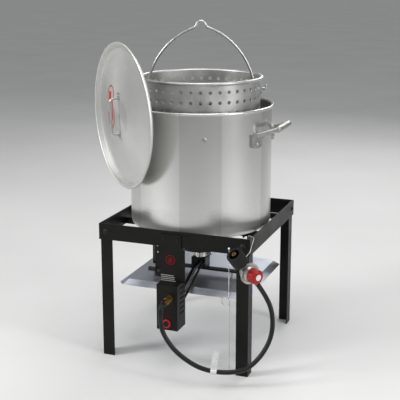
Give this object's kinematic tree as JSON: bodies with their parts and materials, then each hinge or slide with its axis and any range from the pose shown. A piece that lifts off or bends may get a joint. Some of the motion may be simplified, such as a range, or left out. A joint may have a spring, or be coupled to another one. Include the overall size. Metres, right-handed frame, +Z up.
{
  "type": "outdoor gas boiling and steaming kit",
  "caption": "Outdoor gas boiling kit: square steel stand with burner, tall pot with a raised perforated basket and wire bail, and a lid hung on its rim.",
  "frame": {"origin": "middle of the stand's footprint, on the ground", "axes": "+Z up, -Y out of the control box's front, +X to the right of that front"},
  "size_m": [0.667, 0.6126, 1.0369],
  "materials": {
    "stand": "satin black powder coat",
    "plated": "zinc plated",
    "black_bolt": "black",
    "shield": "polished sheet",
    "iron": "rough casting",
    "box": "satin black",
    "brass": "bright",
    "rubber": "matte",
    "paper": "printed film",
    "red": "gloss",
    "black_plastic": "matte",
    "red_plastic": "satin",
    "white_plastic": "satin",
    "zinc_cast": "die cast",
    "pot": "satin drawn",
    "cast_alu": "sand cast",
    "basket": "matte drawn",
    "wire": "bright wire",
    "lid": "satin spun",
    "chrome": "bright"
  },
  "bodies": {
    "stand": {"bead_chain": "chrome", "box_thumb_screw": "black_bolt", "burner": "iron", "burner_cradle": "stand", "burner_strap": "stand", "chain_screw": "chrome", "control_box_bracket": "box", "control_box_cover": "box", "control_box_housing": "box", "cover_screws": "black_bolt", "flame_sensor_tube": "plated", "front_rail": "stand", "gas_hose": "rubber", "gas_tube": "stand", "gas_valve": "brass", "heat_shield": "shield", "hose_elbow": "black_plastic", "hose_fitting": "brass", "hose_plug": "brass", "hose_tag": "paper", "igniter_bezel": "red", "igniter_lead": "black_plastic", "igniter_module": "black_plastic", "inlet_nipple": "brass", "left_rail": "stand", "leg_bolts": "black_bolt", "leg_front_left": "stand", "leg_front_right": "stand", "leg_rear_left": "stand", "leg_rear_right": "stand", "lighting_rod": "wire", "pot_supports": "stand", "quick_connect_socket": "brass", "rear_rail": "stand", "regulator_body": "zinc_cast", "regulator_cover": "zinc_cast", "regulator_screws": "plated", "regulator_wire": "wire", "right_rail": "stand", "shield_standoffs": "plated"},
    "pot": {"pot": "pot", "pot_handle_left": "cast_alu", "pot_handle_right": "cast_alu", "pot_handle_rivets": "cast_alu", "basket_rest_studs": "cast_alu"},
    "basket": {"basket": "basket", "basket_lugs": "basket", "bail_ears": "basket", "basket_rivets": "basket"},
    "bail": {"basket_bail": "wire"},
    "lid": {"lid": "lid", "lid_handle": "wire", "lid_handle_rivets": "lid", "lid_hanger": "lid"},
    "knob": {"regulator_knob": "red_plastic", "knob_cap": "white_plastic"},
    "nut": {"coupling_nut": "black_plastic"},
    "button": {"igniter_button": "black_plastic"},
    "sleeve": {"quick_connect_sleeve": "brass"},
    "shutter": {"air_shutter": "plated"}
  },
  "joints": [
    {"name": "pot_lift", "type": "slide", "parent": "stand", "child": "pot", "axis": [0, 0, 1], "range_m": [0, 0.15]},
    {"name": "basket_lift", "type": "slide", "parent": "pot", "child": "basket", "axis": [0, 0, 1], "range_m": [0, 0.33]},
    {"name": "bail_swing", "type": "hinge", "parent": "basket", "child": "bail", "pos_m": [0, 0, 0.826], "axis": [0.9361, 0.3518, 0], "range_deg": [-74, 74]},
    {"name": "lid_lift", "type": "slide", "parent": "pot", "child": "lid", "axis": [0, 0, 1], "range_m": [0, 0.12]},
    {"name": "regulator_knob_turn", "type": "hinge", "parent": "stand", "child": "knob", "pos_m": [0.254, -0.286, 0.345], "axis": [0.8417, -0.5363, -0.0632], "range_deg": [-720, 720]},
    {"name": "coupling_nut_spin", "type": "hinge", "parent": "stand", "child": "nut", "pos_m": [0.25063, -0.28386, 0.34525], "axis": [-0.3027, -0.5654, 0.7672], "continuous": true},
    {"name": "igniter_press", "type": "slide", "parent": "stand", "child": "button", "axis": [0, 1, 0], "range_m": [0, 0.005], "stiffness_N_per_m": 300},
    {"name": "coupler_sleeve_slide", "type": "slide", "parent": "stand", "child": "sleeve", "axis": [0, 1, 0], "range_m": [0, 0.005], "stiffness_N_per_m": 400},
    {"name": "air_shutter_turn", "type": "hinge", "parent": "stand", "child": "shutter", "pos_m": [0, 0, 0.28], "axis": [0, 0, 1], "range_deg": [0, 90]}
  ]
}
